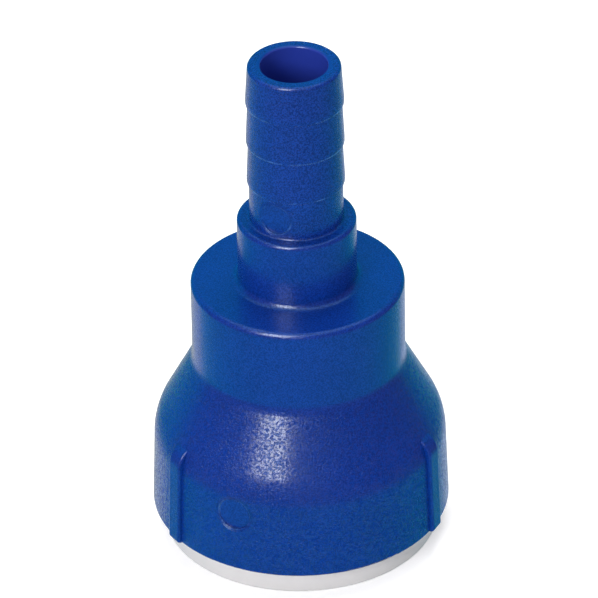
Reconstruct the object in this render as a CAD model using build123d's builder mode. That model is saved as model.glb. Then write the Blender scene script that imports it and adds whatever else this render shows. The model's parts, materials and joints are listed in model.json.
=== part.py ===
from build123d import *
import os
from math import cos, radians, sin, tan

# Hose barb connector: a moulded barbed tail, neck and bell in one piece, with a threaded sleeve
# held in the bell's mouth and a flat sealing washer behind the sleeve's thread.
# The origin is on the axis, in the plane of the sleeve's open end, and the barbs point up.
# Sizes are in millimetres and degrees.

os.makedirs("parts", exist_ok=True)

# Barbed tail, for a hose of half an inch bore
crest_radius = 7.0
barb_height = 0.28
tip_reduction = 0.08
tail_wall = 1.92
barb_count = 3
barb_pitch = 6.45
plain_root_length = 6.1
crest_land = 0.7
tip_length = 6.15

# Collar under the tail, whose ledge stops the hose
hose_stop_width = 1.83
collar_length = 10.35

# Neck, the wide drum between collar and bell
neck_radius = 15.35
neck_wall = 2.2
neck_length = 13.05
roof_thickness = 2.4

# Bell, whose side leans in by its draft and then by its shoulder
bell_wall = 1.8
bell_draft = 2.0
shoulder_rise = 13.7
shoulder_slope = 28.0
shoulder_wall = 2.0
ledge_width = 2.0

# Threaded sleeve, bored to the thread's major radius, and the washer behind the thread
thread_radius = 16.625
thread_length = 12.0
thread_lead_in = 0.8
sleeve_wall = 3.25
sleeve_stand_out = 3.9
seat_thickness = 1.8
seat_width = 4.625
groove_depth = 0.4
washer_thickness = 2.2
washer_clearance = 0.15

# Grip ribs round the bell
rib_count = 3
rib_bearing = 90
rib_width = 2.6
rib_height = 0.6
rib_overrun = 2.2

# Round marks that the mould's pins leave in the bell and in the tail's plain root
mark_offset = 30
bell_mark_radius = 2.4
bell_mark_depth = 0.3
bell_mark_rise = 9.3
root_mark_radius = 2.3
root_mark_depth = 0.38

# Rounded corners
rim_round = 0.4
shoulder_round = 10.0
neck_foot_round = 3.0
neck_edge_round = 0.8
collar_foot_round = 1.0
collar_edge_round = 0.6
root_foot_round = 0.3
crest_round = 0.2
tip_round = 0.5
lip_round = 0.3
inner_shoulder_round = 4.0
chamber_foot_round = 5.0
chamber_roof_round = 1.5
waterway_foot_round = 1.2
sleeve_round = 0.4
rib_foot_round = 0.6
rib_crown_round = 3.0
rib_edge_round = 0.35
mark_edge_round = 0.1

# Sleeve: heights and radii that follow from the sizes above
draft_slope = tan(radians(bell_draft))
groove_radius = thread_radius + groove_depth
groove_top = thread_length + washer_thickness
seat_opening_radius = thread_radius - seat_width
sleeve_top = groove_top + seat_thickness
sleeve_radius = thread_radius + sleeve_wall
sleeve_top_radius = sleeve_radius - draft_slope * sleeve_top

# Tail and collar radii: the barbs stand on the root, and the waterway leaves the tail's wall
root_radius = crest_radius - barb_height
tip_radius = root_radius - tip_reduction
waterway_radius = root_radius - tail_wall
collar_radius = root_radius + hose_stop_width

# Bell, neck and collar: the bell's side is the sleeve's side plus its wall
rim_height = sleeve_stand_out
socket_rim_radius = sleeve_radius - draft_slope * rim_height
bell_rim_radius = socket_rim_radius + bell_wall
cone_slope = tan(radians(shoulder_slope))
shoulder_height = rim_height + shoulder_rise
shoulder_radius = bell_rim_radius - draft_slope * shoulder_rise
cone_top = shoulder_height + (shoulder_radius - neck_radius) / cone_slope
neck_top = cone_top + neck_length
collar_top = neck_top + collar_length

# Tail: the lower edge of each barb, and the tip
barb_edges = [collar_top + plain_root_length + barb_pitch * number for number in range(barb_count)]
tail_top = barb_edges[-1] + tip_length

# Chamber inside the shoulder and neck, which keeps an even wall
dome_radius = sleeve_top_radius - ledge_width
chamber_radius = neck_radius - neck_wall
chamber_top = neck_top - roof_thickness
inner_shoulder_radius = shoulder_radius - shoulder_wall / cos(radians(shoulder_slope))
inner_cone_foot = shoulder_height + (inner_shoulder_radius - dome_radius) / cone_slope
inner_cone_top = shoulder_height + (inner_shoulder_radius - chamber_radius) / cone_slope

# Each section below is a list of corners: radius from the axis, height, and the corner's rounding.
outside_corners = [
    (0, rim_height, 0),
    (bell_rim_radius, rim_height, rim_round),
    (shoulder_radius, shoulder_height, shoulder_round),
    (neck_radius, cone_top, neck_foot_round),
    (neck_radius, neck_top, neck_edge_round),
    (collar_radius, neck_top, collar_foot_round),
    (collar_radius, collar_top, collar_edge_round),
    (root_radius, collar_top, root_foot_round),
]
for barb_edge in barb_edges:
    outside_corners += [
        (root_radius, barb_edge, 0),
        (crest_radius, barb_edge, crest_round),
        (crest_radius, barb_edge + crest_land, 0),
    ]
outside_corners += [(tip_radius, tail_top, tip_round), (0, tail_top, 0)]

chamber_corners = [
    (0, rim_height, 0),
    (socket_rim_radius, rim_height, 0),
    (sleeve_top_radius, sleeve_top, 0),
    (dome_radius, sleeve_top, 0),
    (dome_radius, inner_cone_foot, inner_shoulder_round),
    (chamber_radius, inner_cone_top, chamber_foot_round),
    (chamber_radius, chamber_top, chamber_roof_round),
    (waterway_radius, chamber_top, waterway_foot_round),
    (waterway_radius, tail_top, 0),
    (0, tail_top, 0),
]

sleeve_corners = [
    (thread_radius + thread_lead_in, 0, 0),
    (sleeve_radius, 0, sleeve_round),
    (sleeve_top_radius, sleeve_top, 0),
    (seat_opening_radius, sleeve_top, 0),
    (seat_opening_radius, groove_top, 0),
    (groove_radius, groove_top, 0),
    (groove_radius, thread_length, 0),
    (thread_radius, thread_length, 0),
    (thread_radius, thread_lead_in, 0),
]

# One grip rib: its side view stands on the bell's rim and reaches well into the bell,
# and its outer line follows the bell's draft before the crown rounds over onto the shoulder.
rib_top = shoulder_height + rib_overrun
rib_foot_radius = bell_rim_radius + rib_height
rib_crown_radius = rib_foot_radius - draft_slope * (rib_top - rim_height)
with BuildPart() as grip_rib:
    with BuildSketch(Plane.XZ):
        with BuildLine():
            FilletPolyline(
                (neck_radius, rim_height),
                (rib_foot_radius, rim_height),
                (rib_crown_radius, rib_top),
                (neck_radius, rib_top),
                radius=[0, rib_foot_round, rib_crown_round, 0],
                close=True,
            )
        make_face()
    extrude(amount=rib_width / 2, both=True)
    side_edges = grip_rib.faces().filter_by(Plane.XZ).edges()
    outer_edges = side_edges.filter_by(lambda edge: edge.center().X > bell_rim_radius - rib_crown_round)
    fillet(outer_edges, rib_edge_round)

# Moulded body: the outside is turned, the ribs stand on it, and the chamber is turned out of both
with BuildPart() as body:
    with BuildSketch(Plane.XZ):
        with BuildLine():
            FilletPolyline(
                *[(radius, height) for radius, height, rounding in outside_corners],
                radius=[rounding for radius, height, rounding in outside_corners],
                close=True,
            )
        make_face()
    revolve(axis=Axis.Z)
    with PolarLocations(0, rib_count, start_angle=rib_bearing):
        add(grip_rib.part)
    with BuildSketch(Plane.XZ):
        with BuildLine():
            FilletPolyline(
                *[(radius, height) for radius, height, rounding in chamber_corners],
                radius=[rounding for radius, height, rounding in chamber_corners],
                close=True,
            )
        make_face()
    revolve(axis=Axis.Z, mode=Mode.SUBTRACT)
    lip_edge = body.edges().filter_by(GeomType.CIRCLE).group_by(Axis.Z)[-1].sort_by(SortBy.RADIUS)[0]
    fillet(lip_edge, lip_round)

    # Round pin marks, each a flat-floored disc cut square to the radius, on one bearing beside a rib
    mark_bearing = rib_bearing + 360 / rib_count + mark_offset
    outward = (cos(radians(mark_bearing)), sin(radians(mark_bearing)), 0)
    bell_mark_height = rim_height + bell_mark_rise
    bell_mark_floor = bell_rim_radius - draft_slope * bell_mark_rise - bell_mark_depth
    root_mark_height = collar_top + plain_root_length / 2
    root_mark_floor = root_radius - root_mark_depth
    bell_mark_centre = (outward[0] * bell_mark_floor, outward[1] * bell_mark_floor, bell_mark_height)
    root_mark_centre = (outward[0] * root_mark_floor, outward[1] * root_mark_floor, root_mark_height)
    with BuildSketch(Plane(origin=bell_mark_centre, z_dir=outward)):
        Circle(bell_mark_radius)
    extrude(amount=bell_mark_radius, mode=Mode.SUBTRACT)
    mark_edges = body.edges(Select.LAST)
    mouth_edges = mark_edges.filter_by(lambda edge: edge.geom_type not in (GeomType.CIRCLE, GeomType.LINE))
    fillet(mouth_edges, mark_edge_round)
    with BuildSketch(Plane(origin=root_mark_centre, z_dir=outward)):
        Circle(root_mark_radius)
    extrude(amount=root_mark_radius, mode=Mode.SUBTRACT)
body.part.label = "barbed_body"
export_step(body.part, "parts/barbed_body.step")

# Threaded sleeve: its open end leads into the bore, and its lip holds the washer
with BuildPart() as sleeve:
    with BuildSketch(Plane.XZ):
        with BuildLine():
            FilletPolyline(
                *[(radius, height) for radius, height, rounding in sleeve_corners],
                radius=[rounding for radius, height, rounding in sleeve_corners],
                close=True,
            )
        make_face()
    revolve(axis=Axis.Z)
sleeve.part.label = "threaded_sleeve"
export_step(sleeve.part, "parts/threaded_sleeve.step")

# Sealing washer: it lies against the sleeve's lip, in the groove behind the thread
with BuildPart() as washer:
    with BuildSketch(Plane.XY.offset(thread_length)):
        Circle(groove_radius - washer_clearance)
        Circle(seat_opening_radius, mode=Mode.SUBTRACT)
    extrude(amount=washer_thickness)
washer.part.label = "sealing_washer"
export_step(washer.part, "parts/sealing_washer.step")
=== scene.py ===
# %% [markdown]
# # Dressing a moulded hose barb connector
#
# The real object is one blue injection moulding with a barbed tail, a collar, a neck and a ribbed bell.
# A pale threaded sleeve is held in the bell's mouth, with a flat rubber washer behind its thread.
# The solids come ready-made as a fixed frame. This lesson gives them their finishes, adds the thread
# that the solids leave out, and sets up a plain photo studio.
#
# Loading comes first, because the finishes take their places from the frame.

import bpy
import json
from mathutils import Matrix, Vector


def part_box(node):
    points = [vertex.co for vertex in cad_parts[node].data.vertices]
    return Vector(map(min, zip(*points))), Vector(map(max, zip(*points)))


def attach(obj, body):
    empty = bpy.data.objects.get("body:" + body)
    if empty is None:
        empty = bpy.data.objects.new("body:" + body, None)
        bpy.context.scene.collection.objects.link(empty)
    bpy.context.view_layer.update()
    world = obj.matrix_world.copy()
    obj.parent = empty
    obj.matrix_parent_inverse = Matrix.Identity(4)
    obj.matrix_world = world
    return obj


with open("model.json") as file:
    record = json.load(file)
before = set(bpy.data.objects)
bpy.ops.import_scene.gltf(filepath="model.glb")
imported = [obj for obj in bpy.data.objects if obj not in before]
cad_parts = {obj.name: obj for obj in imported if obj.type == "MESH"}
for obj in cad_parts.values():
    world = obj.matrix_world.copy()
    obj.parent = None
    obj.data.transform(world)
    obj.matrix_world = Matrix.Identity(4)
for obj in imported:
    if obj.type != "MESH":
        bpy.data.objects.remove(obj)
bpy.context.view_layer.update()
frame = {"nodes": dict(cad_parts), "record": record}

# %% [markdown]
# ## Sizes that the finishes need
#
# A finish changes from place to place: the bell is coarse, the ribs are smooth, the tail is fine.
# The places could be typed in, but then a change to the solids would leave the finish behind.
# So most are read from the record's mounts and from the solids' own vertices. The few that neither
# tells, such as the heights of the pin marks, are named values in the cells that need them.
# Blender works in metres, so lengths written here in millimetres are multiplied by `MM`.

# %% Read the connector's levels
import json

import bpy
import numpy as np
from mathutils import Matrix, Vector

MM = 0.001
mounts = {mount["name"]: mount for mount in frame["record"]["mounts"]}


def vertices_of(node_name):
    """The node's vertices as an array with one row of x, y, z for each."""
    mesh = frame["nodes"][node_name].data
    flat = np.empty(len(mesh.vertices) * 3)
    mesh.vertices.foreach_get("co", flat)
    return flat.reshape(-1, 3)


body_points = vertices_of("barbed_body")
body_radii = np.hypot(body_points[:, 0], body_points[:, 1])
rim_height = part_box("barbed_body")[0].z
collar_top = mounts["hose_stop"]["pos_m"][2]
print("bell rim and collar top, mm:", round(rim_height / MM, 2), round(collar_top / MM, 2))

# %% [markdown]
# The neck is the widest part of the body's upper half, give or take the rounding at its foot, and the
# foot is the highest place where the body is clearly wider than that. One rib points along +Y, as the
# record's frame says. So the points that lie farthest along Y are on that rib, and the middle of them
# gives its bearing.

# %% Find the neck's foot and one rib
CLEARLY_WIDER = 1.02
SAME_PLACE = 0.01 * MM
in_upper_half = body_points[:, 2] > (rim_height + collar_top) / 2
neck_radius = body_radii[in_upper_half].max()
neck_foot = body_points[body_radii > neck_radius * CLEARLY_WIDER][:, 2].max()
on_rib = body_points[:, 1] > body_points[:, 1].max() - SAME_PLACE
rib_middle = body_points[on_rib].mean(axis=0)
rib_bearing = float(np.arctan2(rib_middle[1], rib_middle[0]))
print("neck radius and foot, mm:", round(neck_radius / MM, 2), round(neck_foot / MM, 2))
print("one rib lies at", round(float(np.degrees(rib_bearing)), 1), "degrees")

# %% [markdown]
# ## The pipe thread
#
# Inside the sleeve is the female thread of a one-inch parallel pipe: 11 threads to the inch, with flanks
# 55 degrees apart and round crests and roots. Depth and rounding are fixed shares of such a thread's
# pitch. It could be a normal map on the bore, but from below its outline shows, so it is real geometry.
#
# One ridge is a closed loop of points, drawn once and carried up a helix. Both are arrays, so numpy
# works out every point of the thread in a few lines with no loop. First comes the ridge's section.

# %% The ridge's section
INCH = 25.4 * MM
THREADS_PER_INCH = 11
THREAD_PITCH = INCH / THREADS_PER_INCH
THREAD_DEPTH = 0.640327 * THREAD_PITCH
ROUNDING = 0.137329 * THREAD_PITCH
HALF_ANGLE = np.radians(55 / 2)
RIDGE_POINTS = 29
RIDGE_REACH = 0.49 * THREAD_PITCH


def ridge_height(across):
    """Height of the ridge over the bore at a distance across it.

    A crest arc, a straight flank and a root arc follow each other. The arcs meet the flank where their
    tangent is the flank, at rounding times cos(half angle) from the crest's or root's middle line.
    """
    across = np.abs(across)
    meet = ROUNDING * np.cos(HALF_ANGLE)
    crest = THREAD_DEPTH - ROUNDING + np.sqrt(np.maximum(ROUNDING**2 - across**2, 0))
    from_root = THREAD_PITCH / 2 - across
    root = ROUNDING - np.sqrt(np.maximum(ROUNDING**2 - from_root**2, 0))
    flank = THREAD_DEPTH - ROUNDING * (1 - np.sin(HALF_ANGLE)) - (across - meet) / np.tan(HALF_ANGLE)
    return np.where(across < meet, crest, np.where(from_root < meet, root, flank))


across = np.linspace(-RIDGE_REACH, RIDGE_REACH, RIDGE_POINTS)
print("thread depth, mm:", round(THREAD_DEPTH / MM, 3), "of a ridge", len(across), "points wide")

# %% [markdown]
# A mesh needs vertices and faces. The next helper makes both from a grid of points whose rows close on
# themselves, which is what any section carried along a path gives. It is a tube, so its two ends are
# closed by one face each, and the mesh has no open edge.

# %% A tube from a grid of points
def tube_mesh(name, grid):
    """A closed tube from points of shape (stations, points round the loop, 3).

    Quad (i, j) joins points j and j+1 of station i with those of station i+1, where j+1 wraps round.
    """
    stations, around, _ = grid.shape
    i, j = np.meshgrid(np.arange(stations - 1), np.arange(around), indexing="ij")
    k = (j + 1) % around
    quads = np.stack([i * around + j, i * around + k, (i + 1) * around + k, (i + 1) * around + j], axis=-1)
    first_cap = np.arange(around)[::-1].tolist()
    last_cap = (np.arange(around) + (stations - 1) * around).tolist()
    mesh = bpy.data.meshes.new(name)
    mesh.from_pydata(grid.reshape(-1, 3), [], quads.reshape(-1, 4).tolist() + [first_cap, last_cap])
    mesh.shade_smooth()
    return mesh


def add_object(name, data):
    """A new object in the scene, at the origin, unturned and unscaled."""
    thing = bpy.data.objects.new(name, data)
    bpy.context.scene.collection.objects.link(thing)
    return thing


print("mesh helpers are ready")

# %% [markdown]
# Now the section climbs. The thread starts and ends half a pitch inside the socket's mount, where it
# fades in and out as a cut thread does. The loop's back is sunk a little into the sleeve's wall, and its
# feet a fifth as much, which hides the seam between ridge and bore.

# %% Carry the section up the helix
STATIONS_PER_TURN = 96
FADE_TURNS = 0.2
BACK_SUNK = 0.12 * MM
FEET_SUNK = 0.2 * BACK_SUNK
socket = mounts["threaded_socket"]
bore_radius = socket["dims"]["r_mm"] * MM
socket_middle = socket["pos_m"][2]
climb = socket["dims"]["length_mm"] * MM - THREAD_PITCH
turns = climb / THREAD_PITCH
along = np.linspace(0, turns, int(turns * STATIONS_PER_TURN))


def thread_grid():
    """Points of the thread: angle 2 pi t and height rising one pitch a turn, for t turns along.

    The loop goes over the ridge and back inside the wall. The ridge's height fades in and out at the
    thread's ends, as the smooth step 3s^2 - 2s^3 of the way s from each end.
    """
    share = np.clip(np.minimum(along, turns - along) / FADE_TURNS, 0, 1)
    fade = share**2 * (3 - 2 * share)
    over = bore_radius + FEET_SUNK - fade[:, None] * ridge_height(across)[None, :]
    back = np.full((len(along), 2), bore_radius + BACK_SUNK)
    radius = np.concatenate([over, back], axis=1)
    loop_rise = np.concatenate([across, across[[-1, 0]]])
    angle = 2 * np.pi * along[:, None]
    height = socket_middle - climb / 2 + THREAD_PITCH * along[:, None] + loop_rise[None, :]
    return np.stack([radius * np.cos(angle), radius * np.sin(angle), height], axis=-1)


thread_mesh = tube_mesh("pipe_thread", thread_grid())
pipe_thread = add_object("pipe_thread", thread_mesh)
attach(pipe_thread, "root")
print("thread turns:", round(turns, 2), "faces:", len(thread_mesh.polygons))

# %% [markdown]
# Faces have to point outwards, or shading and export turn inside out. Whether they do follows from the
# mesh itself: the volume under each face, summed with its sign, is positive only for a mesh that faces
# outwards. Where it is negative, all faces are flipped.

# %% Check which way the thread faces
def signed_volume(mesh):
    """Sum over the faces of their centre times their area normal, divided by 3."""
    centres = np.empty(len(mesh.polygons) * 3)
    normals = np.empty(len(mesh.polygons) * 3)
    areas = np.empty(len(mesh.polygons))
    mesh.polygons.foreach_get("center", centres)
    mesh.polygons.foreach_get("normal", normals)
    mesh.polygons.foreach_get("area", areas)
    return float(((centres * normals).reshape(-1, 3).sum(axis=1) * areas).sum() / 3)


if signed_volume(thread_mesh) < 0:
    thread_mesh.flip_normals()
print("thread volume, cubic mm:", round(signed_volume(thread_mesh) / MM**3, 1))

# %% [markdown]
# ## Small helpers for shader nodes
#
# A material is a tree of nodes. Adding nodes one call at a time gets long, so a few helpers do the
# repeated work. An input takes either a plain value or a link from another node's output, and `feed`
# tells the two apart, so that no later cell has to. A Mix node repeats its sockets' names for every kind
# of data, so those for colours are picked by their numbers.

# %% Node helpers
MIX_SHARE, MIX_FIRST, MIX_SECOND, MIX_COLOUR = 0, 6, 7, 2


def feed(tree, node_input, value):
    """Links an output into an input, or sets the input to a plain value."""
    if isinstance(value, bpy.types.NodeSocket):
        tree.links.new(value, node_input)
    else:
        node_input.default_value = value


def add_node(tree, kind, inputs=None, **properties):
    """Adds a node, sets its properties, and feeds its inputs by their names."""
    node = tree.nodes.new(kind)
    for name, value in properties.items():
        setattr(node, name, value)
    for name, value in (inputs or {}).items():
        feed(tree, node.inputs[name], value)
    return node


def calculate(tree, operation, *values):
    """The output of a Math node that works on one to three numbers or outputs."""
    node = add_node(tree, "ShaderNodeMath", operation=operation)
    for number, value in enumerate(values):
        feed(tree, node.inputs[number], value)
    return node.outputs[0]


def hypotenuse(tree, first, second):
    """The square root of first squared plus second squared."""
    squares = [calculate(tree, "POWER", side, 2) for side in (first, second)]
    return calculate(tree, "SQRT", calculate(tree, "ADD", *squares))


def blend(tree, share, first, second):
    """A colour that moves from the first to the second as the share goes from 0 to 1."""
    node = add_node(tree, "ShaderNodeMix", data_type="RGBA")
    for number, value in ((MIX_SHARE, share), (MIX_FIRST, first), (MIX_SECOND, second)):
        feed(tree, node.inputs[number], value)
    return node.outputs[MIX_COLOUR]


print("node helpers are ready")

# %% [markdown]
# An effect that several materials share goes into a node group. It is built once, with named inputs and
# outputs, and each material places it with its own values. Copies of the nodes would do the same, but a
# correction would have to be made in each of them.

# %% Helpers for node groups
NUMBER, VECTOR = "NodeSocketFloat", "NodeSocketVector"


def start_group(name, inputs, outputs):
    """A new shader group with its sockets, and its input and output nodes."""
    group = bpy.data.node_groups.new(name, "ShaderNodeTree")
    for socket_name, kind in inputs.items():
        group.interface.new_socket(socket_name, in_out="INPUT", socket_type=kind)
    for socket_name, kind in outputs.items():
        group.interface.new_socket(socket_name, in_out="OUTPUT", socket_type=kind)
    return group, group.nodes.new("NodeGroupInput").outputs, group.nodes.new("NodeGroupOutput").inputs


def place_group(tree, group, inputs):
    """Places a group in a tree, feeds its inputs, and returns its outputs."""
    return add_node(tree, "ShaderNodeGroup", inputs, node_tree=group).outputs


print("group helpers are ready")

# %% [markdown]
# ## Spark-eroded grain
#
# The mould's cavity is cut by sparks, which leaves a skin of tiny pits. On the bell they are about 0.4
# millimetres apart and catch the light one by one. A picture of such a skin would repeat, and noise
# doesn't, if its size is tied to the real pit spacing and its height to the real depth in metres. Then
# one group serves every surface here, coarse or fine, because only those two numbers change.

# %% Group: moulded grain
PIT_FLOOR, PIT_RIM = 0.41, 0.59
FINER, FINE_SHARE = 3.1, 0.12


def make_grain_group():
    """Height of a pitted skin: worm-like noise one spacing wide, with finer noise on top.

    Pits is a smooth step of the noise from floor to rim, and Height is Depth times the sum of Pits and
    the fine share of a noise that is so many times finer.
    """
    group, given, result = start_group(
        "moulded_grain",
        {"Position": VECTOR, "Spacing": NUMBER, "Depth": NUMBER},
        {"Height": NUMBER, "Pits": NUMBER},
    )
    position = given["Position"]
    per_metre = calculate(group, "DIVIDE", 1.0, given["Spacing"])
    worms = add_node(
        group,
        "ShaderNodeTexNoise",
        {"Vector": position, "Scale": per_metre, "Detail": 1.5, "Roughness": 0.55, "Distortion": 0.7},
    )
    fine_scale = calculate(group, "MULTIPLY", per_metre, FINER)
    fine = add_node(group, "ShaderNodeTexNoise", {"Vector": position, "Scale": fine_scale, "Detail": 1.0})
    pits = add_node(
        group,
        "ShaderNodeMapRange",
        {"Value": worms.outputs["Fac"], "From Min": PIT_FLOOR, "From Max": PIT_RIM},
        interpolation_type="SMOOTHSTEP",
    ).outputs["Result"]
    skin = calculate(group, "MULTIPLY_ADD", fine.outputs["Fac"], FINE_SHARE, pits)
    feed(group, result["Height"], calculate(group, "MULTIPLY", skin, given["Depth"]))
    feed(group, result["Pits"], pits)
    return group


grain_group = make_grain_group()


def grain(tree, position, spacing, depth):
    """The Height and Pits outputs of moulded grain placed in a tree."""
    return place_group(tree, grain_group, {"Position": position, "Spacing": spacing, "Depth": depth})


print("group made:", grain_group.name)

# %% [markdown]
# ## Slow mottling
#
# No moulding has exactly one colour: the melt flows, and a finger leaves its trace. A slow noise that
# moves between two given values makes a surface less perfect. The same group can vary a colour's
# brightness or a roughness, so every material here uses it.

# %% Group: slow mottling
NOISE_LOW, NOISE_HIGH = 0.3, 0.7


def make_mottle_group():
    """A value that wanders between Low and High over patches of the given size.

    A noise seldom leaves the range from 0.3 to 0.7, so that range is stretched from Low to High.
    """
    group, given, result = start_group(
        "slow_mottle",
        {"Position": VECTOR, "Size": NUMBER, "Low": NUMBER, "High": NUMBER},
        {"Value": NUMBER},
    )
    noise = add_node(
        group,
        "ShaderNodeTexNoise",
        {
            "Vector": given["Position"],
            "Scale": calculate(group, "DIVIDE", 1.0, given["Size"]),
            "Detail": 3.0,
            "Roughness": 0.6,
        },
    )
    spread = add_node(
        group,
        "ShaderNodeMapRange",
        {
            "Value": noise.outputs["Fac"],
            "From Min": NOISE_LOW,
            "From Max": NOISE_HIGH,
            "To Min": given["Low"],
            "To Max": given["High"],
        },
    )
    feed(group, result["Value"], spread.outputs["Result"])
    return group


mottle_group = make_mottle_group()


def mottle(tree, position, size, low, high):
    """The value of slow mottling placed in a tree."""
    inputs = {"Position": position, "Size": size, "Low": low, "High": high}
    return place_group(tree, mottle_group, inputs)["Value"]


print("group made:", mottle_group.name)

# %% [markdown]
# ## Where each grain lies
#
# The blue body has several finishes in one piece: coarse on the bell, fine on the tail, nearly smooth on
# neck, collar, ribs and pin marks, and quite smooth in the waterway. Separate materials would give hard
# borders, so one material blends them with masks, worked out from the position alone. A mask is 1 inside
# its region, 0 outside, and changes smoothly over a short distance.

# %% Group: soft step
def make_step_group():
    """0 below Edge and 1 above it, with a smooth change over the distance Softness."""
    group, given, result = start_group(
        "soft_step",
        {"Value": NUMBER, "Edge": NUMBER, "Softness": NUMBER},
        {"Above": NUMBER, "Below": NUMBER},
    )
    offset = calculate(group, "SUBTRACT", given["Value"], given["Edge"])
    above = add_node(
        group,
        "ShaderNodeMapRange",
        {"Value": calculate(group, "DIVIDE", offset, given["Softness"]), "From Min": -0.5, "From Max": 0.5},
        interpolation_type="SMOOTHSTEP",
    ).outputs["Result"]
    feed(group, result["Above"], above)
    feed(group, result["Below"], calculate(group, "SUBTRACT", 1.0, above))
    return group


step_group = make_step_group()


def step(tree, value, edge, softness):
    """The Above and Below outputs of a soft step placed in a tree."""
    return place_group(tree, step_group, {"Value": value, "Edge": edge, "Softness": softness})


print("group made:", step_group.name)

# %% [markdown]
# The ribs stand a third of a turn apart. Turning every point into one third of the circle, with the
# Math node's Wrap, lets a single test serve all three ribs.

# %% Mask for the ribs
RIB_COUNT = 3
RIB_STEP = 2 * np.pi / RIB_COUNT
RIB_WIDTH = 2.6 * MM
RIB_END, RIB_END_SOFTNESS = rim_height + 15 * MM, 2 * MM
MASK_SOFTNESS = 0.12 * MM


def rib_mask(tree, x, y, radius, height):
    """1 on the ribs: within half a rib's width of a rib's middle plane, and below the shoulder.

    The distance from a rib's middle plane is the radius times the sine of the bearing from that rib.
    """
    bearing = calculate(tree, "SUBTRACT", calculate(tree, "ARCTAN2", y, x), rib_bearing)
    turned = calculate(tree, "WRAP", bearing, RIB_STEP / 2, -RIB_STEP / 2)
    beside = calculate(tree, "ABSOLUTE", calculate(tree, "MULTIPLY", calculate(tree, "SINE", turned), radius))
    near = step(tree, beside, RIB_WIDTH / 2, MASK_SOFTNESS)["Below"]
    low = step(tree, height, RIB_END, RIB_END_SOFTNESS)["Below"]
    return calculate(tree, "MULTIPLY", near, low)


print("the ribs' smooth skin ends at, mm:", round(RIB_END / MM, 2))

# %% [markdown]
# Pins that push the moulding out leave two round marks, one in the bell and one in the tail's root. They lie
# on one bearing, a quarter of the way from the second rib to the third. The solids have both marks as flat
# recesses, but real plastic sinks a little towards a mark. That dip is relief, and a narrow ring at the
# mark's edge is painted pale as a painted highlight, where the edge would catch the light. The dip and the
# ring are bands round the mark, so all that they need is the distance from its middle.

# %% Distances and masks for the pin marks
BELL_MARK_RADIUS = 2.4 * MM
BELL_MARK_HEIGHT = rim_height + 9.3 * MM
ROOT_MARK_RADIUS = 2.3 * MM
ROOT_MARK_HEIGHT = collar_top + 3.05 * MM
MARK_BEARING = rib_bearing + 1.25 * RIB_STEP
DIP_WIDTH, DIP_SLOPE = 0.5 * MM, 0.7
# width of the ring painted pale round each mark as a painted highlight
GLINT_RING_WIDTH = 0.16 * MM


def distance_to_mark(tree, x, y, height, mark_height):
    """Distance from the line that goes out through a pin mark's middle, and large on the far side.

    For the marks' bearing b, sideways is y cos b - x sin b and outward is x cos b + y sin b. The distance
    is the hypotenuse of sideways and rise, and a metre is added where outward is negative.
    """
    cosine, sine = float(np.cos(MARK_BEARING)), float(np.sin(MARK_BEARING))
    sideways = calculate(tree, "MULTIPLY_ADD", x, -sine, calculate(tree, "MULTIPLY", y, cosine))
    outward = calculate(tree, "MULTIPLY_ADD", x, cosine, calculate(tree, "MULTIPLY", y, sine))
    rise = calculate(tree, "SUBTRACT", height, mark_height)
    behind = calculate(tree, "LESS_THAN", outward, 0.0)
    return calculate(tree, "ADD", hypotenuse(tree, sideways, rise), behind)


def mark_dip(tree, distance, mark_radius):
    """How deep the skin lies: it slopes down evenly towards the mark's edge and is level inside it."""
    within = calculate(tree, "SUBTRACT", mark_radius + DIP_WIDTH, distance)
    limited = calculate(tree, "MINIMUM", calculate(tree, "MAXIMUM", within, 0.0), DIP_WIDTH)
    return calculate(tree, "MULTIPLY", limited, DIP_SLOPE)


def mark_mask(tree, distance, mark_radius):
    """1 on a pin mark and the dip round it."""
    return step(tree, distance, mark_radius + DIP_WIDTH, MASK_SOFTNESS)["Below"]


def glint_ring_mask(tree, distance, mark_radius):
    """1 on the narrow ring round a pin mark's edge that is painted pale as a painted highlight."""
    outer = step(tree, distance, mark_radius + GLINT_RING_WIDTH, GLINT_RING_WIDTH / 2)["Below"]
    inner = step(tree, distance, mark_radius - GLINT_RING_WIDTH / 2, GLINT_RING_WIDTH / 2)["Above"]
    return calculate(tree, "MULTIPLY", outer, inner)


print("marks lie at", round(float(np.degrees(MARK_BEARING)) % 360, 1), "degrees")

# %% [markdown]
# The lower edge of each barb is painted as a thin pale line: partly scuffing by hoses and hands, and partly a
# painted highlight where the rounded edge catches the light. The barbs repeat up the tail as the ribs do
# round the bell, so Wrap serves here as well, on the height. The hose tail's mount starts where the lowest
# barb's rounded edge ends, so the line is measured from there.

# %% Mask for the barbs' scuffed edges, which also carry a painted highlight
BARB_COUNT, BARB_PITCH = 3, 6.45 * MM
# the barbs' pale edge lines: partly scuffing, partly a painted highlight
SCUFF_GLINT_WIDTH, SCUFF_GLINT_DEPTH = 0.14 * MM, 0.16 * MM
hose_tail = mounts["hose_tail"]
crest_radius = hose_tail["dims"]["r_mm"] * MM
lowest_barb = hose_tail["pos_m"][2] - hose_tail["dims"]["length_mm"] / 2 * MM


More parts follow.
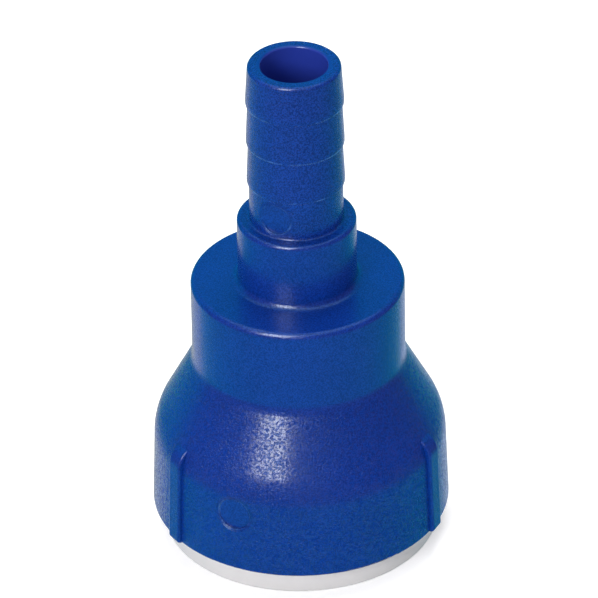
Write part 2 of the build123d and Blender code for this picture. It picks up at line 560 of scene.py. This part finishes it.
def scuff_and_glint_mask(tree, radius, height):
    """1 on the thin lower edge of each barb, painted pale for scuffing and as a painted highlight.

    That is where the height is near an edge's and the radius nearly the crests', from a quarter of a
    pitch below the lowest edge to half a pitch above the highest.
    """
    from_edge = calculate(tree, "SUBTRACT", height, lowest_barb)
    turned = calculate(tree, "WRAP", from_edge, BARB_PITCH / 2, -BARB_PITCH / 2)
    near = step(tree, calculate(tree, "ABSOLUTE", turned), SCUFF_GLINT_WIDTH, SCUFF_GLINT_WIDTH / 2)["Below"]
    outside = step(tree, radius, crest_radius - SCUFF_GLINT_DEPTH, SCUFF_GLINT_DEPTH / 2)["Above"]
    above_collar = step(tree, height, lowest_barb - BARB_PITCH / 4, SCUFF_GLINT_WIDTH)["Above"]
    below_tip = step(tree, height, lowest_barb + (BARB_COUNT - 0.5) * BARB_PITCH, SCUFF_GLINT_WIDTH)["Below"]
    on_an_edge = calculate(tree, "MULTIPLY", near, outside)
    on_the_tail = calculate(tree, "MULTIPLY", above_collar, below_tip)
    return calculate(tree, "MULTIPLY", on_an_edge, on_the_tail)


print("lowest scuffed edge and crest radius, mm:", round(lowest_barb / MM, 2), round(crest_radius / MM, 2))

# %% [markdown]
# ## The blue plastic
#
# The body is a deep, saturated blue with a semi-matt, grainy skin. It could be painted on an unwrapped
# picture of the body, but a formula is sharp at every distance and needs no seams. The colour, the
# roughness, the coat and the relief each get a cell of their own. All four depend on where a point lies,
# so that is worked out first and handed to them as one set of named distances and masks.

# %% Where a point of the body lies
LIP_BAND, LIP_SOFTNESS = 0.45 * MM, 0.2 * MM
BORE_BAND, BORE_SOFTNESS = 0.08 * MM, 0.1 * MM
BELL_GRAIN_RISE, BELL_SOFTNESS = 2.6 * MM, 3 * MM
TAIL_SOFTNESS = 0.4 * MM
waterway_radius = mounts["waterway"]["dims"]["r_mm"] * MM


def body_place(tree, position):
    """The radius, height, distances and masks of a point of the body, by name.

    In the mouth means on the waterway's wall or its rounded lip, and skinned is 1 minus that mask. The
    masks of bell and tail leave out the ribs and the pin marks, which have only the fine skin.
    """
    axes = add_node(tree, "ShaderNodeSeparateXYZ", {"Vector": position}).outputs
    x, y, height = axes["X"], axes["Y"], axes["Z"]
    radius = hypotenuse(tree, x, y)
    to_bell_mark = distance_to_mark(tree, x, y, height, BELL_MARK_HEIGHT)
    to_root_mark = distance_to_mark(tree, x, y, height, ROOT_MARK_HEIGHT)
    on_bell_mark = mark_mask(tree, to_bell_mark, BELL_MARK_RADIUS)
    on_root_mark = mark_mask(tree, to_root_mark, ROOT_MARK_RADIUS)
    marked = calculate(tree, "MAXIMUM", on_bell_mark, on_root_mark)
    smooth = calculate(tree, "MAXIMUM", rib_mask(tree, x, y, radius, height), marked)
    grained = calculate(tree, "SUBTRACT", 1.0, smooth)
    below_neck = step(tree, height, neck_foot + BELL_GRAIN_RISE, BELL_SOFTNESS)["Below"]
    above_collar = step(tree, height, collar_top, TAIL_SOFTNESS)["Above"]
    in_mouth = step(tree, radius, waterway_radius + LIP_BAND, LIP_SOFTNESS)["Below"]
    return {
        "radius": radius,
        "height": height,
        "to bell mark": to_bell_mark,
        "to root mark": to_root_mark,
        "on bell": calculate(tree, "MULTIPLY", grained, below_neck),
        "on tail": calculate(tree, "MULTIPLY", grained, above_collar),
        # where the waterway's colour is painted paler, as painted light
        "bore glow": step(tree, radius, waterway_radius + BORE_BAND, BORE_SOFTNESS)["Below"],
        "in mouth": in_mouth,
        "skinned": calculate(tree, "SUBTRACT", 1.0, in_mouth),
    }


print("waterway radius, mm:", round(waterway_radius / MM, 2))

# %% [markdown]
# The relief is three grains added up: a fine skin everywhere outside, a coarse one on the bell and one
# between them on the tail. The dips round the pin marks are taken away from it, and their slope catches
# the light as a thin bright crescent. Heights are in metres, so the Bump node's distance is 1 and the
# slopes are the real ones. The next cell also starts every piece's material in the same way.

# %% Relief of the body
BELL_SPACING, BELL_DEPTH = 0.37 * MM, 0.032 * MM
TAIL_SPACING, TAIL_DEPTH = 0.32 * MM, 0.034 * MM
SKIN_SPACING, SKIN_DEPTH = 0.25 * MM, 0.013 * MM


def start_material(name):
    """A new material, its tree, its shader, and the Object coordinates that its patterns read."""
    material = bpy.data.materials.new(name)
    material.use_nodes = True
    tree = material.node_tree
    position = tree.nodes.new("ShaderNodeTexCoord").outputs["Object"]
    return material, tree, tree.nodes["Principled BSDF"], position


def bumped(tree, height):
    """The normal of a surface with this relief, in metres."""
    bump = add_node(tree, "ShaderNodeBump", {"Strength": 1.0, "Distance": 1.0, "Height": height})
    return bump.outputs["Normal"]


def body_relief(tree, position, place, bell):
    """Height: skin plus bell's grain on the bell plus tail's grain on the tail, less the marks' dips.

    In the mouth there is no grain.
    """
    skin = grain(tree, position, SKIN_SPACING, SKIN_DEPTH)["Height"]
    tail = grain(tree, position, TAIL_SPACING, TAIL_DEPTH)["Height"]
    coarse = calculate(tree, "MULTIPLY_ADD", bell["Height"], place["on bell"], skin)
    relief = calculate(tree, "MULTIPLY_ADD", tail, place["on tail"], coarse)
    relief = calculate(tree, "MULTIPLY", relief, place["skinned"])
    for distance, mark_radius in (("to bell mark", BELL_MARK_RADIUS), ("to root mark", ROOT_MARK_RADIUS)):
        relief = calculate(tree, "SUBTRACT", relief, mark_dip(tree, place[distance], mark_radius))
    return relief


print("grain depths of bell, tail and skin, mm:", BELL_DEPTH / MM, TAIL_DEPTH / MM, SKIN_DEPTH / MM)

# %% [markdown]
# The pigment is even, but the grain makes it look flecked, because little light comes out of a pit and a
# ridge glints. So the colour is painted darker in a fine grain's pits, as painted shade, and lighter on its
# ridges, as painted glints. The waterway is painted paler, as painted light, because light goes back and
# forth in it. The barbs' lower edges and a ring round each mark turn to a dusty light blue, in patches and
# not all along: partly scuffing and partly a painted highlight on the barbs, and a painted highlight round
# the marks.

# %% Colour of the body
BLUE = (0.002, 0.033, 0.265, 1.0)
# painted light: a paler blue for the waterway, standing for light that goes back and forth in it
BORE_GLOW_BLUE = (0.026, 0.054, 0.40, 1.0)
# pale blue for the barbs' edges, partly scuffing and partly a painted highlight, and for the painted
# highlight round the marks
SCUFF_AND_GLINT_BLUE = (0.05, 0.15, 0.45, 1.0)
# strength of the painted shade in the grain's pits and painted glints on its ridges, greater on the tail
TAIL_PIT_SHADE_AND_GLINT, SKIN_PIT_SHADE_AND_GLINT = 0.68, 0.46
# share of the painted highlight ring that the root's mark gets
ROOT_GLINT_SHARE = 0.6


def scuff_and_glint_share(tree, position, place):
    """How pale a point is painted: the barbs' scuffed edges, which are also a painted highlight, and the
    painted highlight rings round the marks, times patches that are partly below 0.
    """
    bell_edge = glint_ring_mask(tree, place["to bell mark"], BELL_MARK_RADIUS)
    root_edge = glint_ring_mask(tree, place["to root mark"], ROOT_MARK_RADIUS)
    # painted highlight rings round both marks
    glint_rings = calculate(tree, "ADD", bell_edge, calculate(tree, "MULTIPLY", root_edge, ROOT_GLINT_SHARE))
    scuff_and_glint = calculate(tree, "MAXIMUM", scuff_and_glint_mask(tree, place["radius"], place["height"]), glint_rings)
    return calculate(tree, "MULTIPLY", scuff_and_glint, mottle(tree, position, size=3 * MM, low=-0.4, high=0.8))


def shaded(tree, colour, brightness):
    """The colour with its brightness multiplied."""
    return add_node(tree, "ShaderNodeHueSaturation", {"Color": colour, "Value": brightness}).outputs["Color"]


def body_colour(tree, position, place, speckle):
    """Pigment times mottling times (1 + (pits - 1/2) times the place's strength): painted shade in the pits
    and painted glints on the ridges.
    """
    contrast = calculate(tree, "MULTIPLY_ADD", place["on tail"], TAIL_PIT_SHADE_AND_GLINT - SKIN_PIT_SHADE_AND_GLINT, SKIN_PIT_SHADE_AND_GLINT)
    outside = calculate(tree, "MULTIPLY", contrast, place["skinned"])
    # painted shade in the pits and painted glints on the ridges
    pit_shade_and_glint = calculate(tree, "MULTIPLY", calculate(tree, "SUBTRACT", speckle["Pits"], 0.5), outside)
    shade = mottle(tree, position, size=9 * MM, low=0.88, high=1.00)
    brightness = calculate(tree, "MULTIPLY", shade, calculate(tree, "ADD", pit_shade_and_glint, 1.0))
    # painted light: the waterway is painted paler
    pigment = blend(tree, place["bore glow"], BLUE, BORE_GLOW_BLUE)
    # pale blue for scuffing and painted highlights
    pigment = blend(tree, scuff_and_glint_share(tree, position, place), pigment, SCUFF_AND_GLINT_BLUE)
    return shaded(tree, pigment, brightness)


print("blue:", BLUE[:3])

# %% [markdown]
# A grainy moulding shows a bright patch in two parts: a soft glow, and sparks where single ridges face
# the lamp. The shader has two layers of gloss for them. The lower one follows the relief and gives the
# glow. The coat keeps the smooth form, and its weight goes up and down with the pits, which breaks its
# mirror image into sparks. Varying the roughness instead would lay a grey veil over the blue.

# %% Gloss of the body
BELL_SPARKLE, SKIN_SPARKLE = 0.96, 0.40
COAT_WEIGHT = 0.48
GRAIN_ROUGHNESS, MOUTH_ROUGHNESS = -0.03, 0.05


def body_roughness(tree, position, place):
    """Mottled roughness, a little less on bell and tail and a little more in the mouth."""
    polish = mottle(tree, position, size=5 * MM, low=0.15, high=0.19)
    on_grain = calculate(tree, "ADD", place["on bell"], place["on tail"])
    pitted = calculate(tree, "MULTIPLY_ADD", on_grain, GRAIN_ROUGHNESS, polish)
    return calculate(tree, "MULTIPLY_ADD", place["in mouth"], MOUTH_ROUGHNESS, pitted)


def body_coat(tree, place, bell, speckle):
    """Coat weight: its mean plus (pits - 1/2) times the place's sparkle.

    The pits are those of the bell's grain on the bell, and those of the speckle elsewhere.
    """
    coarser = calculate(tree, "SUBTRACT", bell["Pits"], speckle["Pits"])
    all_pits = calculate(tree, "ADD", speckle["Pits"], calculate(tree, "MULTIPLY", coarser, place["on bell"]))
    pits = calculate(tree, "SUBTRACT", all_pits, 0.5)
    sparkle = calculate(tree, "MULTIPLY_ADD", place["on bell"], BELL_SPARKLE - SKIN_SPARKLE, SKIN_SPARKLE)
    gleam = calculate(tree, "MULTIPLY", calculate(tree, "MULTIPLY", pits, sparkle), place["skinned"])
    return calculate(tree, "ADD", gleam, COAT_WEIGHT)


print("coat weight on the bell:", COAT_WEIGHT, "plus or minus", BELL_SPARKLE / 2)

# %% [markdown]
# The material only has to join the four parts. Two grains serve more than one of them, so they are
# placed here. The gloss is tinted a little towards the pigment where one looks straight at it, and stays
# white at grazing angles, which gives the pale haze along both sides of the body.

# %% Material: blue plastic
SPECKLE_SPACING = 0.21 * MM
SPECULAR_TINT = (0.65, 0.85, 1.0, 1.0)


def blue_plastic():
    """Grainy blue moulding whose finish depends on the place."""
    material, tree, shader, position = start_material("blue_plastic")
    place = body_place(tree, position)
    bell = grain(tree, position, BELL_SPACING, BELL_DEPTH)
    speckle = grain(tree, position, SPECKLE_SPACING, SKIN_DEPTH)
    finish = {
        "Base Color": body_colour(tree, position, place, speckle),
        "Roughness": body_roughness(tree, position, place),
        "Coat Weight": body_coat(tree, place, bell, speckle),
        "Normal": bumped(tree, body_relief(tree, position, place, bell)),
        "IOR": 1.5,
        "Specular IOR Level": 0.28,
        "Specular Tint": SPECULAR_TINT,
        "Coat IOR": 1.6,
        "Coat Roughness": 0.23,
    }
    for name, value in finish.items():
        feed(tree, shader.inputs[name], value)
    return material


def paint(piece, material):
    """Gives a piece this one material."""
    piece.data.materials.clear()
    piece.data.materials.append(material)


paint(frame["nodes"]["barbed_body"], blue_plastic())
print("painted: barbed_body")

# %% [markdown]
# ## The white plastic
#
# The sleeve is a pale, nearly neutral plastic, turned or moulded smooth. A plain white would look like
# paper, so it gets a fine grain, a slow change of tone and a roughness that wanders.
# The thread is cut in the same piece, so it shares the material. The washer needs the same three things
# with other values, so the next cell has one function for both.

# %% Material: white plastic
WHITE = (0.77, 0.745, 0.745, 1.0)
SLEEVE_SPACING, SLEEVE_DEPTH = 0.25 * MM, 0.002 * MM


def plain_finish(name, colour, skin, tones, roughness):
    """A finish that is the same all over.

    Skin gives the grain's spacing and depth. Tones and roughness each give the size of the patches and
    the lowest and highest value in them.
    """
    material, tree, shader, position = start_material(name)
    feed(tree, shader.inputs["Base Color"], shaded(tree, colour, mottle(tree, position, *tones)))
    feed(tree, shader.inputs["Roughness"], mottle(tree, position, *roughness))
    feed(tree, shader.inputs["Normal"], bumped(tree, grain(tree, position, *skin)["Height"]))
    return material


white_plastic = plain_finish(
    "white_plastic",
    WHITE,
    skin=(SLEEVE_SPACING, SLEEVE_DEPTH),
    tones=(8 * MM, 0.96, 1.02),
    roughness=(4 * MM, 0.40, 0.50),
)
paint(frame["nodes"]["threaded_sleeve"], white_plastic)
paint(pipe_thread, white_plastic)
print("painted: threaded_sleeve, pipe_thread")

# %% [markdown]
# ## The rubber washer
#
# The washer hides behind the thread, but anyone who turns the connector over can see it. Pressed rubber
# is dark, dull and a little dusty, with a skin as fine as the plastic's. Dust could be a layer of its
# own, but here a colour that is lighter in patches is enough.

# %% Material: black rubber
RUBBER = (0.022, 0.022, 0.024, 1.0)
WASHER_SPACING, WASHER_DEPTH = 0.2 * MM, 0.006 * MM

black_rubber = plain_finish(
    "black_rubber",
    RUBBER,
    skin=(WASHER_SPACING, WASHER_DEPTH),
    tones=(3 * MM, 0.8, 1.6),
    roughness=(2 * MM, 0.62, 0.78),
)
paint(frame["nodes"]["sealing_washer"], black_rubber)
print("painted: sealing_washer")

# %% [markdown]
# ## The camera
#
# A photograph fixes its camera: the ellipses of the mouth and rim give the height it looked from, and
# the barbs' sizes give the scale. This one stood about a metre away, a little over a third of a right
# angle up, slightly turned and tilted. A long lens fits that. The pose is written as a point to aim at,
# a bearing, an elevation and a roll, because those are what a photographer would change.

# %% Place the camera
AIM_HEIGHT = 38 * MM
DISTANCE = 1.0
BEARING = np.radians(267.2)
ELEVATION = np.radians(33.354)
ROLL = np.radians(-0.952)
PICTURE_SIDE = 598
PIXELS_PER_METRE = 6978
AIM_PIXEL = (297.887, 295.926)
SENSOR = 36.0


def direction(bearing, elevation):
    """The unit vector (cos e cos b, cos e sin b, sin e) for a bearing b and an elevation e."""
    level = np.cos(elevation)
    return Vector((level * np.cos(bearing), level * np.sin(bearing), np.sin(elevation)))


def camera_axes():
    """The camera's right, up and backward directions, rolled about the line of sight."""
    back = direction(BEARING, ELEVATION)
    right = Vector((-np.sin(BEARING), np.cos(BEARING), 0))
    up = back.cross(right)
    return right * np.cos(ROLL) + up * np.sin(ROLL), up * np.cos(ROLL) - right * np.sin(ROLL), back


right, up, back = camera_axes()
to_the_right = (PICTURE_SIDE / 2 - AIM_PIXEL[0]) / PIXELS_PER_METRE
downwards = (PICTURE_SIDE / 2 - AIM_PIXEL[1]) / PIXELS_PER_METRE
aim = Vector((0, 0, AIM_HEIGHT))
eye = aim + back * DISTANCE + right * to_the_right - up * downwards
camera_data = bpy.data.cameras.new("camera")
camera_data.sensor_width = SENSOR
camera_data.lens = SENSOR * PIXELS_PER_METRE * DISTANCE / PICTURE_SIDE
camera = add_object("camera", camera_data)
camera.matrix_world = Matrix.Translation(eye) @ Matrix((right, up, back)).transposed().to_4x4()
bpy.context.scene.camera = camera
print("lens, mm:", round(camera_data.lens, 1))

# %% [markdown]
# ## Floor and backdrop
#
# The photograph's background is plain white. Lighting a floor until it is white would also flood the
# object, so the floor is lit like everything else, and only rays that show it get a small glow on top,
# which lifts it to white and keeps the shadow. From underneath the floor is clear, so that the
# connector's open end can be looked at from below.

# %% Floor
FLOOR_SIDE = 30.0
FLOOR_COLOUR = (0.88, 0.88, 0.88, 1.0)
FLOOR_GLOW = 0.4


def seen_directly(tree):
    """1 for camera, glossy and transmission rays, which show a thing, and 0 for those that only light."""
    light_path = tree.nodes.new("ShaderNodeLightPath").outputs
    mirrored = calculate(tree, "MAXIMUM", light_path["Is Glossy Ray"], light_path["Is Transmission Ray"])
    return calculate(tree, "MAXIMUM", light_path["Is Camera Ray"], mirrored)


def bare_material(name):
    """A new material with only an output node, its tree, and that node's Surface input."""
    material = bpy.data.materials.new(name)
    material.use_nodes = True
    tree = material.node_tree
    tree.nodes.clear()
    return material, tree, tree.nodes.new("ShaderNodeOutputMaterial").inputs["Surface"]


def pale_floor():
    """White floor that glows a little for the rays that show it, and is clear from below."""
    material, tree, surface = bare_material("pale_floor")
    matt = add_node(tree, "ShaderNodeBsdfDiffuse", {"Color": FLOOR_COLOUR})
    strength = calculate(tree, "MULTIPLY", seen_directly(tree), FLOOR_GLOW)
    glow = add_node(tree, "ShaderNodeEmission", {"Strength": strength})
    lit = add_node(tree, "ShaderNodeAddShader")
    feed(tree, lit.inputs[0], matt.outputs[0])
    feed(tree, lit.inputs[1], glow.outputs[0])
    from_below = tree.nodes.new("ShaderNodeNewGeometry").outputs["Backfacing"]
    clear = tree.nodes.new("ShaderNodeBsdfTransparent")
    mix = add_node(tree, "ShaderNodeMixShader", {"Fac": from_below})
    feed(tree, mix.inputs[1], lit.outputs[0])
    feed(tree, mix.inputs[2], clear.outputs[0])
    feed(tree, surface, mix.outputs[0])
    return material


def stage_object(name, points, faces, material):
    """A mesh that belongs to the studio and not to the connector."""
    mesh = bpy.data.meshes.new(name)
    mesh.from_pydata(points, [], faces)
    mesh.materials.append(material)
    thing = add_object(name, mesh)
    return thing


half = FLOOR_SIDE / 2
corners = [(-half, -half, 0), (half, -half, 0), (half, half, 0), (-half, half, 0)]
floor = stage_object("floor", corners, [(0, 1, 2, 3)], pale_floor())
print("floor side, m:", FLOOR_SIDE)

# %% [markdown]
# ## What the gloss mirrors
#
# A glossy blue mirrors whatever stands round it. White all round would lay a milky veil over the whole
# object, and the photograph shows one only as soft strips down the left and right sides. Photographers
# get that with a dark room and a pale table that reaches far behind the object. Panels could stand for
# both, but one large dome is easier to adjust. Its colour depends on two things only, the bearing from
# the camera's and the elevation.

# %% Points of the dome
DOME_RADIUS = 2.2
DOME_BEARINGS = np.radians(np.linspace(0, 360, 49))
DOME_ELEVATIONS = np.radians(np.linspace(-89, 89, 25))


def dome_mesh_data():
    """Points (r cos e cos b, r cos e sin b, r sin e) over all bearings b and elevations e, and quads."""
    b, e = np.meshgrid(DOME_BEARINGS, DOME_ELEVATIONS, indexing="ij")
    points = DOME_RADIUS * np.stack([np.cos(e) * np.cos(b), np.cos(e) * np.sin(b), np.sin(e)], axis=-1)
    columns, rows = b.shape
    i, j = np.meshgrid(np.arange(columns - 1), np.arange(rows - 1), indexing="ij")
    start = (i * rows + j).ravel()
    quads = np.stack([start, start + 1, start + rows + 1, start + rows], axis=-1)
    return points.reshape(-1, 3), quads.tolist()


dome_points, dome_quads = dome_mesh_data()
print("dome points:", len(dome_points))

# %% [markdown]
# The room is nearly black in front, blue-green behind and bright above. The table below it is blue-green
# in front and gets paler towards the back, where grazing gloss looks, a little farther round on one side
# than on the other. Straight below it is a dull grey blue. Only glossy rays see the dome, so it neither
# lights the pigment nor shows in the picture, and the floor is hidden from them in its place.

# %% Material: the mirrored room
ROOM_FRONT = (0.10, 0.02, 0.05, 1.0)
ROOM_BACK = (0.0, 0.32, 0.40, 1.0)
ROOM_ABOVE = (0.60, 0.95, 1.00, 1.0)
TABLE_FRONT = (0.0, 0.42, 0.52, 1.0)
TABLE_INNER = (0.04, 0.50, 0.72, 1.0)
TABLE_OUTER = (0.50, 0.64, 0.86, 1.0)
TABLE_BACK = (0.55, 0.60, 0.58, 1.0)
TABLE_BELOW = (0.26, 0.32, 0.38, 1.0)
INNER_FROM, OUTER_FROM, BACK_FROM = 124, 136, 162
SIDES_LEAN = 7
TABLE_EDGE, CEILING_EDGE, BELOW_EDGE = -24, 52, -62
ROOM_TURNS = 114
TABLE_SOFTNESS, ROOM_SOFTNESS = 8, 16


def mirrored_room():
    """Emission by direction, from edges in degrees of bearing and elevation.

    The elevation is the arcsine of the height over the dome's radius.
    """
    material, tree, surface = bare_material("mirrored_room")
    position = tree.nodes.new("ShaderNodeTexCoord").outputs["Object"]
    axes = add_node(tree, "ShaderNodeSeparateXYZ", {"Vector": position}).outputs
    turned = calculate(tree, "SUBTRACT", calculate(tree, "ARCTAN2", axes["Y"], axes["X"]), BEARING)
    leaning = calculate(tree, "SUBTRACT", turned, float(np.radians(SIDES_LEAN)))
    aside = calculate(tree, "ABSOLUTE", calculate(tree, "WRAP", leaning, np.pi, -np.pi))
    elevation = calculate(tree, "ARCSINE", calculate(tree, "DIVIDE", axes["Z"], DOME_RADIUS))

    def edge(angle, at, softness):
        return step(tree, angle, np.radians(at), np.radians(softness))

    table = TABLE_FRONT
    for start, colour in ((INNER_FROM, TABLE_INNER), (OUTER_FROM, TABLE_OUTER), (BACK_FROM, TABLE_BACK)):
        table = blend(tree, edge(aside, start, TABLE_SOFTNESS)["Above"], table, colour)
    table = blend(tree, edge(elevation, BELOW_EDGE, TABLE_SOFTNESS)["Below"], table, TABLE_BELOW)
    room = blend(tree, edge(aside, ROOM_TURNS, ROOM_SOFTNESS)["Above"], ROOM_FRONT, ROOM_BACK)
    room = blend(tree, edge(elevation, CEILING_EDGE, ROOM_SOFTNESS)["Above"], room, ROOM_ABOVE)
    colour = blend(tree, edge(elevation, TABLE_EDGE, TABLE_SOFTNESS)["Below"], room, table)
    feed(tree, surface, add_node(tree, "ShaderNodeEmission", {"Color": colour}).outputs[0])
    return material


mirrored_dome = stage_object("mirrored_dome", dome_points, dome_quads, mirrored_room())
for kind in ("camera", "diffuse", "transmission", "volume_scatter", "shadow"):
    setattr(mirrored_dome, "visible_" + kind, False)
floor.visible_glossy = False
print("the mirrored table is palest from", OUTER_FROM, "to", BACK_FROM, "degrees on either side")

# %% [markdown]
# ## Lamps and world
#
# The mottled patch on the shoulder is the mirror image of one soft box, to the left of the camera and
# high. One box alone would leave the flat tops dark and the rounded edges dull. So a second box, high
# behind, lights the tops, and it is hidden from gloss, where it would show as another patch. A third
# one, over the first, is seen by gloss alone and brightens the edges. A dim world fills the shadows.
# Together they light a surface to about the colour that it is given.

# %% Lamps
def soft_box(name, bearing, elevation, distance, width, depth, watts):
    """An area lamp that points at the connector. Its bearing, in degrees, starts at the camera's."""
    lamp_data = bpy.data.lights.new(name, "AREA")
    lamp_data.shape = "RECTANGLE"
    lamp_data.size = width
    lamp_data.size_y = depth
    lamp_data.energy = watts
    lamp = add_object(name, lamp_data)
    away = direction(BEARING + np.radians(bearing), np.radians(elevation))
    lamp.location = aim + away * distance
    lamp.rotation_mode = "QUATERNION"
    lamp.rotation_quaternion = away.to_track_quat("Z", "Y")
    lamp.visible_camera = False
    return lamp


soft_box("key_box", bearing=-25.5, elevation=28, distance=1.2, width=0.54, depth=0.42, watts=7.8)
back_box = soft_box("back_box", bearing=180, elevation=74, distance=1.5, width=0.9, depth=0.9, watts=15)
back_box.visible_glossy = False
glint_box = soft_box("glint_box", bearing=-25, elevation=48, distance=1.2, width=0.5, depth=0.42, watts=7.8)
glint_box.visible_diffuse = False

# %% [markdown]
# The world is white where it is seen, as the background, and dim as a light. The Light Path node tells
# the two apart, as on the floor.

# %% World
WORLD_FILL = 0.42
world = bpy.data.worlds.new("studio")
world.use_nodes = True
bpy.context.scene.world = world
background = world.node_tree.nodes["Background"]
background.inputs["Color"].default_value = (1.0, 1.0, 1.0, 1.0)
shown = seen_directly(world.node_tree)
strength = calculate(world.node_tree, "MULTIPLY_ADD", shown, 1 - WORLD_FILL, WORLD_FILL)
feed(world.node_tree, background.inputs["Strength"], strength)
bpy.context.scene.view_settings.view_transform = "Standard"
print("world fill:", WORLD_FILL)
